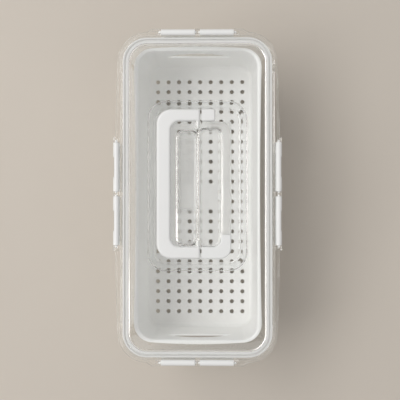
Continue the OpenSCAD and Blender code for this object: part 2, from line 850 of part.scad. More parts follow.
// White latch: a barrel with a pin at each end, and a flap that hooks under the rim's edge
module latch(side, hand) {
    length = latch_l(side);
    hook_x = rim_r - hook_bite - axis_r(side);
    corner_r = 3;
    color(white_colour)
        at_side(side)
            translate([0, hand * latch_place(side), 0]) {
                difference() {
                    intersection() {
                        union() {
                            rotate([90, 0, 0])
                                cylinder(r = barrel_r, h = length, center = true);
                            rotate([90, 0, 0])
                                linear_extrude(length, center = true)
                                    polygon(latch_section(hook_x));
                        }
                        rotate([90, 0, 90])
                            linear_extrude(6 * barrel_d, center = true)
                                round_rect(-length / 2, length / 2, -latch_h, 2 * barrel_r, corner_r);
                    }
                    if (side % 2 == 0)
                        translate([barrel_r - relief_h, -relief_w / 2, -latch_h + lip_rise])
                            cube([barrel_d, relief_w, latch_h + barrel_d]);
                }
                latch_pin(hand, length, end_pin_l);
                latch_pin(-hand, length, middle_pin_l);
            }
}

module latch_pin(direction, length, pin_l) {
    translate([0, direction * (length + pin_l - over) / 2, 0])
        rotate([90, 0, 0])
            cylinder(d = latch_pin_d, h = pin_l + over, center = true);
}

body();
basket();
sealing_ring();
lid();
carry_handle();
handle_cap_back();
handle_cap_front();
latch(0, 1);  // latch_right_back
latch(0, -1);  // latch_right_front
latch(1, 1);  // latch_back_left
latch(1, -1);  // latch_back_right
latch(2, 1);  // latch_left_front
latch(2, -1);  // latch_left_back
latch(3, 1);  // latch_front_right
latch(3, -1);  // latch_front_left
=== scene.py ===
"""Fridge organizer box: clear body, white drain basket, clear lid with sealing ring, eight latches and a
folding carry handle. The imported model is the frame; this file gives it its plastics, fine detail and
light."""

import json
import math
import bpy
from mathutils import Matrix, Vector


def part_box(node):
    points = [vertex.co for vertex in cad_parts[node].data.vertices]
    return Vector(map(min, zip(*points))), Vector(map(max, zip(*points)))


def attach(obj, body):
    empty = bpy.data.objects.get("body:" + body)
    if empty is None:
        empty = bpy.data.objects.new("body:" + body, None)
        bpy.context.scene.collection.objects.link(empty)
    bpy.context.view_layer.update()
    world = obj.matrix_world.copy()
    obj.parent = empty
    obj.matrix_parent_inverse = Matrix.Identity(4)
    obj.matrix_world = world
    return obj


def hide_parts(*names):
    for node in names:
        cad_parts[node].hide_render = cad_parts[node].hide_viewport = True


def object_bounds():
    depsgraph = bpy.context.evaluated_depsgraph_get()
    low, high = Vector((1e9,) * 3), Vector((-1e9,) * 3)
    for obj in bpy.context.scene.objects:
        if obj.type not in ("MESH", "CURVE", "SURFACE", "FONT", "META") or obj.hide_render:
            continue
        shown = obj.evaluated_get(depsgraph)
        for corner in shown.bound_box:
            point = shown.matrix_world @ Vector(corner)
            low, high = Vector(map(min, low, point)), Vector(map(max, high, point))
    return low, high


bl_info = {
    "name": "Fridge Organizer Box",
    "version": (1, 0, 0),
    "blender": (4, 5, 0),
    "location": "View3D > Sidebar > Fridge Box",
    "description": "Finishes the packed fridge organizer box in moulded plastics and sets its studio",
    "category": "Object",
}

import bmesh
import bpy
from bpy.props import FloatProperty, FloatVectorProperty, IntProperty, PointerProperty
from mathutils import Matrix, Vector

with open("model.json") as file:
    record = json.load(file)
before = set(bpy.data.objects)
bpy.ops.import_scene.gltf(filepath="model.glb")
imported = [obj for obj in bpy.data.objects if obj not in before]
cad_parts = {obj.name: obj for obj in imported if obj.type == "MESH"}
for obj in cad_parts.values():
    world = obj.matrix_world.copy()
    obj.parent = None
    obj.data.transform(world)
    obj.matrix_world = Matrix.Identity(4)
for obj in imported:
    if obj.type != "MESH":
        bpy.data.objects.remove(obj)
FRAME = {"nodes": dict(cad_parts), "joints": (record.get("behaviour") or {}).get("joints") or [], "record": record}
CAD_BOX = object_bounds()
NODES = FRAME["nodes"]
BODY_OF = {
    node: body
    for body, members in FRAME["record"]["behaviour"]["bodies"].items()
    for node in members
}
JOINT_OF = {joint["child"]: joint for joint in FRAME["joints"]}
LATCHES = sorted(name for name in NODES if name.startswith("latch_"))
MM = 0.001

# Latches
BARREL_RADIUS = 3.1 * MM
RELIEF_DEPTH = 1.0 * MM
RIBS_ABOVE_TIP = 12.5 * MM
RIB_SINK = 0.3

# Drain holes: from the first to the last hole's centre, half the bare patch in steps of the grid, and the
# floor's upper face above the feet
HOLE_FIELD_X = 93.66 * MM
HOLE_FIELD_Y = 254.26 * MM
BARE_STEPS_X = 1.5
BARE_STEPS_Y = 1.0
BASKET_FLOOR = 6.8 * MM

# Underside of the body: ejector marks as (part of their radius, height in mm), and the gate pip in mm
UNDER_FLOOR = 2.5 * MM
MARKS_X = (-38, 38)
MARKS_Y = (-110, -37, 37, 110)
MARK_PROFILE = ((0.93, 0.0), (0.97, -0.15), (1.0, -0.15), (1.05, 0.0))
GATE_PROFILE = ((0.0, -0.9), (1.1, -0.9), (1.5, -0.5), (1.6, 0.0))

# Frosted parts of the lid: the ridge, and a patch of the finger pocket measured from the hinge line
RIDGE_WIDTH = 10.4 * MM
RIDGE_DEPTH = 6.2 * MM
RIDGE_BELOW_TOP = 4.5 * MM
RIDGE_ARM_START = 5 * MM
RIDGE_ARM_WIDTH = 8 * MM
PATCH_X = (-20 * MM, -MM)
PATCH_Y = (-24 * MM, 45 * MM)
PATCH_Z = (-18 * MM, -14.5 * MM)
PATCH_FADE = 9 * MM
SHARP_FADE = 0.1 * MM
FROSTED_ROUGHNESS = 0.3

# Surfaces
SCRATCH_TURNS = (0.6, 2.2)
SCRATCH_LEVELS = (0.76, 0.8)
SCRATCH_ROUGHNESS = 0.25
SMOOTHEST = 0.005
CLOUD_SCALE = 18.0
CLOUD_DARK = 0.975
CLOUD_LIGHT = 1.02
MERGE_DISTANCE = 0.000003
SHARP_ANGLE = math.radians(32)

# Stage: lengths in metres, and the camera's reach as distance over picture width
FLOOR_HALF = 4.0
FLOOR_DROP = 0.0003
FLOOR_DARK = 0.97
FLOOR_LIGHT = 1.03
SKY_COLOUR = (0.99, 0.99, 1.0, 1)
SENSOR_WIDTH = 36.0
CAMERA_REACH = 1063 / 400
CAMERA_AIM = (2.7 * MM, -2.8 * MM)
LIGHT_BOUNCES = 24


def colour(name, description, default):
    return FloatVectorProperty(
        name=name, description=description, subtype="COLOR", size=3, min=0, max=1, default=default
    )


def length(name, description, default, high=0.1):
    return FloatProperty(
        name=name, description=description, subtype="DISTANCE", unit="LENGTH",
        default=default, min=0, max=high,
    )


def number(name, description, default, high):
    return FloatProperty(name=name, description=description, default=default, min=0, max=high)


def turn_angle(name, description, degrees):
    return FloatProperty(name=name, description=description, subtype="ANGLE", default=math.radians(degrees))


def count(name, description, default, low, high):
    return IntProperty(name=name, description=description, default=default, min=low, max=high)


class FridgeBoxPlastics(bpy.types.PropertyGroup):
    """Colours and surface of the plastics"""

    clear_colour: colour("Clear", "Colour of the clear body and lid", (0.985, 0.988, 0.984))
    clear_roughness: number("Clear roughness", "Roughness of the clear plastic", 0.012, 0.5)
    # Basket white and handle white are one plastic. The basket's colour is set lighter as painted light on its
    # shaded inside, and the handle's darker as painted shade against the key lamp.
    basket_colour_painted_lighter: colour("Basket white", "Colour of the basket", (0.915, 0.915, 0.905))
    handle_colour_painted_darker: colour("Handle white", "Colour of the handle and the short cap", (0.815, 0.815, 0.805))
    latch_colour: colour("Latch white", "Colour of the latches", (0.85, 0.85, 0.84))
    milky_colour: colour("Milky white", "Colour of the corner cap", (0.905, 0.91, 0.9))
    silicone_colour: colour("Silicone", "Colour of the sealing ring", (0.8, 0.795, 0.785))
    grain: length("Grain", "Size of the fine moulded grain", 0.0006, 0.01)
    edge_radius: length("Edge radius", "Rounding of the moulded edges", 0.0004, 0.002)


class FridgeBoxDetails(bpy.types.PropertyGroup):
    """Fine moulded detail"""

    hole_radius: length("Hole radius", "Radius of a drain hole", 0.0022, 0.01)
    hole_lip: length("Hole lip", "Radius of the rounded lip round a drain hole", 0.00022, 0.002)
    hole_columns: count("Columns", "Columns of drain holes", 9, 2, 20)
    hole_rows: count("Rows", "Rows of drain holes", 24, 2, 40)
    rib_count: count("Ribs", "Grip ribs on each latch", 4, 0, 8)
    rib_pitch: length("Rib pitch", "Spacing of the grip ribs", 0.0014, 0.01)
    rib_length: length("Rib length", "Length of the grip ribs", 0.016, 0.03)
    rib_radius: length("Rib radius", "Radius of the grip ribs", 0.0004, 0.002)
    mark_radius: length("Mark radius", "Radius of the ejector marks under the box", 0.003, 0.01)


class FridgeBoxStage(bpy.types.PropertyGroup):
    """Floor, light and camera"""

    floor_colour: colour("Floor", "Colour of the floor", (0.6, 0.545, 0.48))
    backdrop_colour: colour("Backdrop", "Colour of the backdrop", (0.655, 0.62, 0.575))
    world_level: number("Sky", "Strength of the even light", 0.46, 3)
    key_power: number("Key", "Power of the main lamp in watts", 26.5, 500)
    fill_power: number("Fill", "Power of the fill lamp in watts", 1.6, 500)
    camera_distance: length("Camera distance", "From the lid's top to the camera", 1.063, 10)
    camera_swing: turn_angle("Swing", "Turn of the view to the right", 1.4)
    camera_dip: turn_angle("Dip", "Turn of the view to the front", 0.65)


# Node helpers


class Tree:
    """Adds nodes to a tree and links them in one call"""

    def __init__(self, tree):
        self.tree = tree
        self.nodes = tree.nodes

    def add(self, kind, inputs=None, **settings):
        node = self.nodes.new(kind)
        for key, value in settings.items():
            setattr(node, key, value)
        for key, value in (inputs or {}).items():
            self.put(node.inputs[key], value)
        return node

    def put(self, socket, value):
        if isinstance(value, bpy.types.NodeSocket):
            self.tree.links.new(value, socket)
        else:
            socket.default_value = value

    def math(self, operation, *values):
        node = self.nodes.new("ShaderNodeMath")
        node.operation = operation
        for socket, value in zip(node.inputs, values):
            self.put(socket, value)
        return node.outputs[0]


def node_group(name, kind, sockets):
    """A new node group with named sockets: (name, in or out, socket type, default)"""
    group = bpy.data.node_groups.new(name, kind)
    for label, side, socket, default in sockets:
        item = group.interface.new_socket(label, in_out=side, socket_type=socket)
        if default is not None:
            item.default_value = default
    return group


# Shared surface effects


def moulded_surface():
    """Fine grain and slow waviness of a moulded face, as a height in metres and a roughness"""
    group = node_group("Moulded surface", "ShaderNodeTree", [
        ("Vector", "INPUT", "NodeSocketVector", None),
        ("Grain Size", "INPUT", "NodeSocketFloat", 0.0006),
        ("Grain Depth", "INPUT", "NodeSocketFloat", 0.000004),
        ("Wave Size", "INPUT", "NodeSocketFloat", 0.03),
        ("Wave Depth", "INPUT", "NodeSocketFloat", 0.00002),
        ("Roughness", "INPUT", "NodeSocketFloat", 0.3),
        ("Spread", "INPUT", "NodeSocketFloat", 0.1),
        ("Roughness", "OUTPUT", "NodeSocketFloat", None),
        ("Height", "OUTPUT", "NodeSocketFloat", None),
    ])
    t = Tree(group)
    given = t.add("NodeGroupInput").outputs
    grain = t.add("ShaderNodeTexNoise", {
        "Vector": given["Vector"], "Scale": t.math("DIVIDE", 1.0, given["Grain Size"]), "Detail": 1.0,
    })
    wave = t.add("ShaderNodeTexNoise", {
        "Vector": given["Vector"], "Scale": t.math("DIVIDE", 1.0, given["Wave Size"]), "Detail": 1.0,
    })
    fine = t.math("MULTIPLY", grain.outputs[0], given["Grain Depth"])
    slow = t.math("MULTIPLY", wave.outputs[0], given["Wave Depth"])
    shift = t.math("MULTIPLY", t.math("SUBTRACT", wave.outputs[0], 0.5), given["Spread"])
    rough = t.math("MAXIMUM", t.math("ADD", given["Roughness"], shift), SMOOTHEST)
    out = t.add("NodeGroupOutput")
    t.put(out.inputs["Roughness"], rough)
    t.put(out.inputs["Height"], t.math("ADD", fine, slow))
    return group


def hairlines():
    """Mask of sparse hairline scratches in two directions"""
    group = node_group("Hairlines", "ShaderNodeTree", [
        ("Vector", "INPUT", "NodeSocketVector", None),
        ("Length", "INPUT", "NodeSocketFloat", 0.02),
        ("Width", "INPUT", "NodeSocketFloat", 0.0003),
        ("Amount", "INPUT", "NodeSocketFloat", 0.3),
        ("Mask", "OUTPUT", "NodeSocketFloat", None),
    ])
    t = Tree(group)
    given = t.add("NodeGroupInput").outputs
    masks = []
    for turn in SCRATCH_TURNS:
        turned = t.add(
            "ShaderNodeVectorRotate", {"Vector": given["Vector"], "Angle": turn}, rotation_type="Z_AXIS"
        )
        long_way = t.math("DIVIDE", 1.0, given["Length"])
        cross_way = t.math("DIVIDE", 1.0, given["Width"])
        stretch = t.add("ShaderNodeCombineXYZ", {"X": long_way, "Y": cross_way, "Z": long_way})
        scaled = t.add(
            "ShaderNodeVectorMath", {0: turned.outputs[0], 1: stretch.outputs[0]}, operation="MULTIPLY"
        )
        noise = t.add("ShaderNodeTexNoise", {"Vector": scaled.outputs[0], "Scale": 1.0, "Detail": 0.0})
        masks.append(t.add("ShaderNodeMapRange", {
            "Value": noise.outputs[0], "From Min": SCRATCH_LEVELS[0], "From Max": SCRATCH_LEVELS[1],
        }).outputs[0])
    both = t.math("MAXIMUM", masks[0], masks[1])
    out = t.add("NodeGroupOutput")
    t.put(out.inputs["Mask"], t.math("MULTIPLY", both, given["Amount"]))
    return group


def within(t, value, low, high, soft=SHARP_FADE):
    """Mask that is 1 where value lies between low and high and fades out over soft"""
    rise = t.add("ShaderNodeMapRange", {"Value": value, "From Min": low - soft, "From Max": low})
    fall = t.add("ShaderNodeMapRange", {"Value": value, "From Min": high + soft, "From Max": high})
    return t.math("MULTIPLY", rise.outputs[0], fall.outputs[0])


def frosted_patch(t, axes, x, y, z, soft):
    """Mask of one frosted patch, given as (low, high) across, along and up"""
    flat = t.math("MULTIPLY", within(t, axes["X"], *x), within(t, axes["Y"], *y, soft))
    return t.math("MULTIPLY", flat, within(t, axes["Z"], *z))


def frosting(t, place):
    """Mask of the lid's frosting: its ridge, and the back of the finger pocket's floor"""
    axes = t.add("ShaderNodeSeparateXYZ", {0: place}).outputs
    front_cap, back_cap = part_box("handle_cap_front"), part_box("handle_cap_back")
    right, left, back = front_cap[1].x, back_cap[0].x, back_cap[0].y
    hinge = Vector(JOINT_OF["handle"]["pos_m"])
    top = CAD_BOX[1][2] - RIDGE_BELOW_TOP
    ridge_z = (top - RIDGE_DEPTH, top)
    patches = (
        ((right - RIDGE_WIDTH, right), (front_cap[1].y, back), ridge_z, SHARP_FADE),
        ((left + RIDGE_ARM_START, right), (back - RIDGE_ARM_WIDTH, back), ridge_z, SHARP_FADE),
        (
            [hinge.x + x for x in PATCH_X],
            [hinge.y + y for y in PATCH_Y],
            [hinge.z + z for z in PATCH_Z],
            PATCH_FADE,
        ),
    )
    mask = frosted_patch(t, axes, *patches[0])
    for patch in patches[1:]:
        mask = t.math("MAXIMUM", mask, frosted_patch(t, axes, *patch))
    return mask


# Plastics


def surface(t, roughness, spread, grain_size, grain_depth, wave_size, wave_depth, scratch):
    """Places the shared effects in a material: returns its roughness, normal and coordinates"""
    place = t.add("ShaderNodeTexCoord").outputs["Object"]
    skin = t.add("ShaderNodeGroup", node_tree=bpy.data.node_groups["Moulded surface"])
    for key, value in (
        ("Vector", place), ("Grain Size", grain_size), ("Grain Depth", grain_depth),
        ("Wave Size", wave_size), ("Wave Depth", wave_depth), ("Roughness", roughness), ("Spread", spread),
    ):
        t.put(skin.inputs[key], value)
    lines = t.add("ShaderNodeGroup", node_tree=bpy.data.node_groups["Hairlines"])
    t.put(lines.inputs["Vector"], place)
    t.put(lines.inputs["Amount"], scratch)
    worn = t.math("MULTIPLY", lines.outputs[0], SCRATCH_ROUGHNESS)
    rough = t.math("ADD", skin.outputs["Roughness"], worn)
    bump = t.add("ShaderNodeBump", {"Height": skin.outputs["Height"], "Strength": 1.0, "Distance": 1.0})
    return rough, bump.outputs[0], place


def clear_styrene(name, tint, roughness):
    """Glassy styrene: bends light, and lets the lamps through to what is inside"""
    material = bpy.data.materials.new(name)
    material.use_nodes = True
    t = Tree(material.node_tree)
    shader = t.nodes["Principled BSDF"]
    rough, normal, place = surface(
        t, roughness, spread=0.004, grain_size=0.0008, grain_depth=0.0000001, wave_size=0.045,
        wave_depth=0.000004, scratch=0.1,
    )
    frosted = t.math("MULTIPLY", frosting(t, place), FROSTED_ROUGHNESS)
    rough = t.math("MAXIMUM", rough, frosted)
    for key, value in (
        ("Base Color", (*tint, 1)), ("Roughness", rough), ("Normal", normal),
        ("Transmission Weight", 1.0), ("IOR", 1.5),
    ):
        t.put(shader.inputs[key], value)
    half_tint = [(1 + c) / 2 for c in tint]
    through = t.add("ShaderNodeBsdfTransparent", {"Color": (*half_tint, 1)})
    rays = t.add("ShaderNodeLightPath").outputs
    soft = t.math("MAXIMUM", rays["Is Shadow Ray"], rays["Is Diffuse Ray"])
    mix = t.add("ShaderNodeMixShader", {0: soft, 1: shader.outputs[0], 2: through.outputs[0]})
    t.put(t.nodes["Material Output"].inputs["Surface"], mix.outputs[0])
    return material


def solid_plastic(name, base, roughness, grain_depth, **values):
    """Moulded plastic or silicone with a faint change of tone over the piece"""
    material = bpy.data.materials.new(name)
    material.use_nodes = True
    t = Tree(material.node_tree)
    shader = t.nodes["Principled BSDF"]
    grain = bpy.context.scene.fridge_box_plastics.grain
    rough, normal, place = surface(
        t, roughness, spread=0.08, grain_size=grain, grain_depth=grain_depth, wave_size=0.03,
        wave_depth=0.00004, scratch=0.4,
    )
    cloud = t.add("ShaderNodeTexNoise", {"Vector": place, "Scale": CLOUD_SCALE, "Detail": 2.0})
    dark = [c * CLOUD_DARK for c in base]
    light = [min(1, c * CLOUD_LIGHT) for c in base]
    tone = t.add(
        "ShaderNodeMix", {"Factor": cloud.outputs[0], 6: (*dark, 1), 7: (*light, 1)}, data_type="RGBA"
    )
    for key, value in (("Base Color", tone.outputs[2]), ("Roughness", rough), ("Normal", normal)):
        t.put(shader.inputs[key], value)
    for key, value in values.items():
        t.put(shader.inputs[key.replace("_", " ")], value)
    return material


class FRIDGE_BOX_OT_plastics(bpy.types.Operator):
    """Makes the shared surface effects and the plastics"""

    bl_idname = "fridge_box.plastics"
    bl_label = "Plastics"

    def execute(self, context):
        look = context.scene.fridge_box_plastics
        moulded_surface()
        hairlines()
        clear_styrene("clear_styrene", look.clear_colour, look.clear_roughness)
        # basket_white and satin_white differ only in colour: painted light lifts the basket's shaded inside, and
        # painted shade tones down the handle under the key lamp
        for name, base in (("basket_white", look.basket_colour_painted_lighter), ("satin_white", look.handle_colour_painted_darker)):
            solid_plastic(
                name, base, roughness=0.36, grain_depth=0.000006,
                Subsurface_Weight=0.15, Subsurface_Radius=(0.004, 0.004, 0.0038), Subsurface_Scale=1.0,
            )
        solid_plastic(
            "gloss_white", look.latch_colour, roughness=0.24, grain_depth=0.000003,
            Subsurface_Weight=0.15, Subsurface_Radius=(0.003, 0.003, 0.003), Subsurface_Scale=1.0,
        )
        solid_plastic(
            "milky_white", look.milky_colour, roughness=0.3, grain_depth=0.000003,
            Transmission_Weight=0.12, IOR=1.49,
        )
        solid_plastic(
            "soft_silicone", look.silicone_colour, roughness=0.5, grain_depth=0.000005,
            Transmission_Weight=0.2, IOR=1.41,
        )
        return {"FINISHED"}


# Pieces


def finish_piece(mesh, name, material, body):
    """A mesh in the frame becomes a piece that rides on its body"""
    piece = bpy.data.objects.new(name, mesh)
    bpy.context.scene.collection.objects.link(piece)
    mesh.materials.clear()
    mesh.materials.append(bpy.data.materials[material])
    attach(piece, body)
    return piece


def moulded_copy(node, material, edge):
    """Merged copy of a CAD node with its sharp edges rounded, which stands for the node"""
    bm = bmesh.new()
    bm.from_mesh(NODES[node].data)
    bmesh.ops.remove_doubles(bm, verts=bm.verts, dist=MERGE_DISTANCE)
    if edge > 0:
        joined = [line for line in bm.edges if len(line.link_faces) == 2]
        sharp = [line for line in joined if line.calc_face_angle(0) > SHARP_ANGLE]
        bmesh.ops.bevel(
            bm, geom=sharp, offset=edge, offset_type="OFFSET", segments=2, profile=0.5, affect="EDGES",
            clamp_overlap=False, loop_slide=False,
        )
    mesh = bpy.data.meshes.new(node + "_moulded")
    bm.to_mesh(mesh)
    bm.free()
    mesh.shade_smooth()
    mesh.set_sharp_from_angle(angle=SHARP_ANGLE)
    mesh = with_flat_faces(mesh)
    piece = finish_piece(mesh, node + "_moulded", material, BODY_OF[node])
    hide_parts(node)
    return piece


def with_flat_faces(mesh):
    """The mesh with normals weighted by face, so that wide faces stay flat beside their rounded edges"""
    holder = bpy.data.objects.new("weighing", mesh)
    bpy.context.scene.collection.objects.link(holder)
    modifier = holder.modifiers.new("Weigh", "WEIGHTED_NORMAL")
    modifier.keep_sharp = True
    modifier.weight = 100
    depsgraph = bpy.context.evaluated_depsgraph_get()
    weighted = bpy.data.meshes.new_from_object(holder.evaluated_get(depsgraph))
    name = mesh.name
    holder.modifiers.clear()
    bpy.data.objects.remove(holder)
    bpy.data.meshes.remove(mesh)
    weighted.name = name
    return weighted


class FRIDGE_BOX_OT_body(bpy.types.Operator):
    """Clear body with its rim, floor and foot ring"""

    bl_idname = "fridge_box.body"
    bl_label = "Body"

    def execute(self, context):
        moulded_copy("body", "clear_styrene", context.scene.fridge_box_plastics.edge_radius)
        return {"FINISHED"}


class FRIDGE_BOX_OT_basket(bpy.types.Operator):
    """White drain basket"""

    bl_idname = "fridge_box.basket"
    bl_label = "Basket"

    def execute(self, context):
        moulded_copy("basket", "basket_white", context.scene.fridge_box_plastics.edge_radius / 2)
        return {"FINISHED"}


class FRIDGE_BOX_OT_lid(bpy.types.Operator):
    """Clear lid, its sealing ring and the fixed caps in its recess"""

    bl_idname = "fridge_box.lid"
    bl_label = "Lid"

    def execute(self, context):
        edge = context.scene.fridge_box_plastics.edge_radius
        moulded_copy("lid", "clear_styrene", edge / 2)
        moulded_copy("sealing_ring", "soft_silicone", edge)
        moulded_copy("handle_cap_back", "satin_white", edge / 2)
        moulded_copy("handle_cap_front", "milky_white", edge / 2)
        return {"FINISHED"}


class FRIDGE_BOX_OT_handle(bpy.types.Operator):
    """White carry handle"""

    bl_idname = "fridge_box.handle"
    bl_label = "Carry handle"

    def execute(self, context):
        moulded_copy("carry_handle", "satin_white", context.scene.fridge_box_plastics.edge_radius / 2)
        return {"FINISHED"}


class FRIDGE_BOX_OT_latches(bpy.types.Operator):
    """Eight white latches"""

    bl_idname = "fridge_box.latches"
    bl_label = "Latches"

    def execute(self, context):
        for node in LATCHES:
            moulded_copy(node, "gloss_white", context.scene.fridge_box_plastics.edge_radius)
        return {"FINISHED"}


# Repeated detail, made by geometry nodes


def grown_mesh(group, inputs, name):
    """Runs a geometry node tree with the given inputs and returns its plain mesh"""
    holder = bpy.data.objects.new(name, bpy.data.meshes.new(name))
    bpy.context.scene.collection.objects.link(holder)
    modifier = holder.modifiers.new("Grow", "NODES")
    modifier.node_group = group
    for item in group.interface.items_tree:
        if item.item_type == "SOCKET" and item.in_out == "INPUT" and item.name in inputs:
            modifier[item.identifier] = inputs[item.name]
    depsgraph = bpy.context.evaluated_depsgraph_get()
    mesh = bpy.data.meshes.new_from_object(holder.evaluated_get(depsgraph))
    holder.modifiers.clear()
    bpy.data.objects.remove(holder)
    return mesh


def hole_lips_tree():
    """Rounded lips on a grid of drain holes, without the holes left out in the middle"""
    group = node_group("Drain hole lips", "GeometryNodeTree", [
        ("Columns", "INPUT", "NodeSocketInt", 9),
        ("Rows", "INPUT", "NodeSocketInt", 24),
        ("Width", "INPUT", "NodeSocketFloat", 0.0936),
        ("Length", "INPUT", "NodeSocketFloat", 0.254),
        ("Bare Width", "INPUT", "NodeSocketFloat", 0.017),
        ("Bare Length", "INPUT", "NodeSocketFloat", 0.008),
        ("Hole Radius", "INPUT", "NodeSocketFloat", 0.0022),
        ("Lip Radius", "INPUT", "NodeSocketFloat", 0.0002),
        ("Material", "INPUT", "NodeSocketMaterial", None),
        ("Geometry", "OUTPUT", "NodeSocketGeometry", None),
    ])
    t = Tree(group)
    given = t.add("NodeGroupInput").outputs
    grid = t.add("GeometryNodeMeshGrid", {
        "Size X": given["Width"], "Size Y": given["Length"], "Vertices X": given["Columns"],
        "Vertices Y": given["Rows"],
    })
    place = t.add("ShaderNodeSeparateXYZ", {0: t.add("GeometryNodeInputPosition").outputs[0]}).outputs
    near_x = t.math("LESS_THAN", t.math("ABSOLUTE", place["X"]), given["Bare Width"])
    near_y = t.math("LESS_THAN", t.math("ABSOLUTE", place["Y"]), given["Bare Length"])
    holes = t.math("LESS_THAN", t.math("ADD", near_x, near_y), 1.5)
    path = t.add("GeometryNodeCurvePrimitiveCircle", {"Resolution": 16, "Radius": given["Hole Radius"]})
    section = t.add("GeometryNodeCurvePrimitiveCircle", {"Resolution": 4, "Radius": given["Lip Radius"]})
    ring = t.add("GeometryNodeCurveToMesh", {"Curve": path.outputs[0], "Profile Curve": section.outputs[0]})
    rings = t.add("GeometryNodeInstanceOnPoints", {
        "Points": grid.outputs[0], "Selection": holes, "Instance": ring.outputs[0],
    })
    real = t.add("GeometryNodeRealizeInstances", {0: rings.outputs[0]})
    dressed = t.add("GeometryNodeSetMaterial", {"Geometry": real.outputs[0], "Material": given["Material"]})
    t.put(t.add("NodeGroupOutput").inputs[0], dressed.outputs[0])
    return group


def ribs_tree():
    """Parallel round ribs along Y, stacked down Z"""
    group = node_group("Grip ribs", "GeometryNodeTree", [
        ("Length", "INPUT", "NodeSocketFloat", 0.03),
        ("Count", "INPUT", "NodeSocketInt", 4),
        ("Pitch", "INPUT", "NodeSocketFloat", 0.0014),
        ("Radius", "INPUT", "NodeSocketFloat", 0.0004),
        ("Material", "INPUT", "NodeSocketMaterial", None),
        ("Geometry", "OUTPUT", "NodeSocketGeometry", None),
    ])
    t = Tree(group)
    given = t.add("NodeGroupInput").outputs
    half = t.math("DIVIDE", given["Length"], 2.0)
    start = t.add("ShaderNodeCombineXYZ", {"Y": t.math("MULTIPLY", half, -1.0)})
    end = t.add("ShaderNodeCombineXYZ", {"Y": half})
    line = t.add("GeometryNodeCurvePrimitiveLine", {"Start": start.outputs[0], "End": end.outputs[0]})
    section = t.add("GeometryNodeCurvePrimitiveCircle", {"Resolution": 8, "Radius": given["Radius"]})
    rib = t.add("GeometryNodeCurveToMesh", {
        "Curve": line.outputs[0], "Profile Curve": section.outputs[0], "Fill Caps": True,
    })
    step = t.add("ShaderNodeCombineXYZ", {"Z": t.math("MULTIPLY", given["Pitch"], -1.0)})
    stack = t.add(
        "GeometryNodeMeshLine", {"Count": given["Count"], "Offset": step.outputs[0]}, mode="OFFSET"
    )
    ribs = t.add("GeometryNodeInstanceOnPoints", {"Points": stack.outputs[0], "Instance": rib.outputs[0]})
    real = t.add("GeometryNodeRealizeInstances", {0: ribs.outputs[0]})
    dressed = t.add("GeometryNodeSetMaterial", {"Geometry": real.outputs[0], "Material": given["Material"]})
    t.put(t.add("NodeGroupOutput").inputs[0], dressed.outputs[0])
    return group


class FRIDGE_BOX_OT_hole_lips(bpy.types.Operator):
    """Rounded lips round the drain holes in the basket's floor"""

    bl_idname = "fridge_box.hole_lips"
    bl_label = "Drain hole lips"

    def execute(self, context):
        fine = context.scene.fridge_box_details
        low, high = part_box("basket")
        mesh = grown_mesh(hole_lips_tree(), {
            "Columns": fine.hole_columns,
            "Rows": fine.hole_rows,
            "Width": HOLE_FIELD_X,
            "Length": HOLE_FIELD_Y,
            "Bare Width": HOLE_FIELD_X / (fine.hole_columns - 1) * BARE_STEPS_X,
            "Bare Length": HOLE_FIELD_Y / (fine.hole_rows - 1) * BARE_STEPS_Y,
            "Hole Radius": fine.hole_radius + fine.hole_lip,
            "Lip Radius": fine.hole_lip,
            "Material": bpy.data.materials["basket_white"],
        }, "hole_lips")
        middle = (low + high) / 2
        mesh.transform(Matrix.Translation((middle.x, middle.y, low.z + BASKET_FLOOR)))
        mesh.shade_smooth()
        finish_piece(mesh, "drain_hole_lips", "basket_white", BODY_OF["basket"])
        return {"FINISHED"}


class FRIDGE_BOX_OT_latch_ribs(bpy.types.Operator):
    """Grip ribs on the flap of each latch, above its finger lip"""

    bl_idname = "fridge_box.latch_ribs"
    bl_label = "Latch ribs"

    def execute(self, context):
        fine = context.scene.fridge_box_details
        group = ribs_tree()
        for node in LATCHES:
            low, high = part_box(node)
            joint = JOINT_OF[BODY_OF[node]]
            turn = Vector(joint["axis"])
            outward = turn.cross(Vector((0, 0, 1))) * -1
            mesh = grown_mesh(group, {
                "Length": fine.rib_length,
                "Count": fine.rib_count,
                "Pitch": fine.rib_pitch,
                "Radius": fine.rib_radius,
                "Material": bpy.data.materials["gloss_white"],
            }, "ribs")
            centre = Vector(joint["pos_m"])
            on_long_side = abs(outward.x) > 0.5
            flap_out = BARREL_RADIUS - (RELIEF_DEPTH if on_long_side else 0)
            face = centre + outward * (flap_out - fine.rib_radius * RIB_SINK)
            place = Vector((
                face.x if on_long_side else centre.x,
                centre.y if on_long_side else face.y,
                low.z + RIBS_ABOVE_TIP,
            ))
            turned = Matrix.Rotation(math.atan2(outward.y, outward.x), 4, "Z")
            mesh.transform(Matrix.Translation(place) @ turned)
            mesh.shade_smooth()
            finish_piece(mesh, node + "_ribs", "gloss_white", BODY_OF[node])
        return {"FINISHED"}


class FRIDGE_BOX_OT_marks(bpy.types.Operator):
    """Ejector marks and the gate pip that moulding leaves under the body"""

    bl_idname = "fridge_box.marks"
    bl_label = "Moulding marks"

    def execute(self, context):
        fine = context.scene.fridge_box_details
        bm = bmesh.new()
        mark = [(fine.mark_radius * part, height * MM) for part, height in MARK_PROFILE]
        for x in MARKS_X:
            for y in MARKS_Y:
                add_lathe(bm, (x * MM, y * MM, UNDER_FLOOR), mark)
        gate = [(radius * MM, height * MM) for radius, height in GATE_PROFILE]
        add_lathe(bm, (0, 0, UNDER_FLOOR), gate)
        bmesh.ops.remove_doubles(bm, verts=bm.verts, dist=MERGE_DISTANCE)
        bmesh.ops.recalc_face_normals(bm, faces=bm.faces)
        mesh = bpy.data.meshes.new("moulding_marks")
        bm.to_mesh(mesh)
        bm.free()
        mesh.shade_smooth()
        finish_piece(mesh, "moulding_marks", "clear_styrene", BODY_OF["body"])
        return {"FINISHED"}


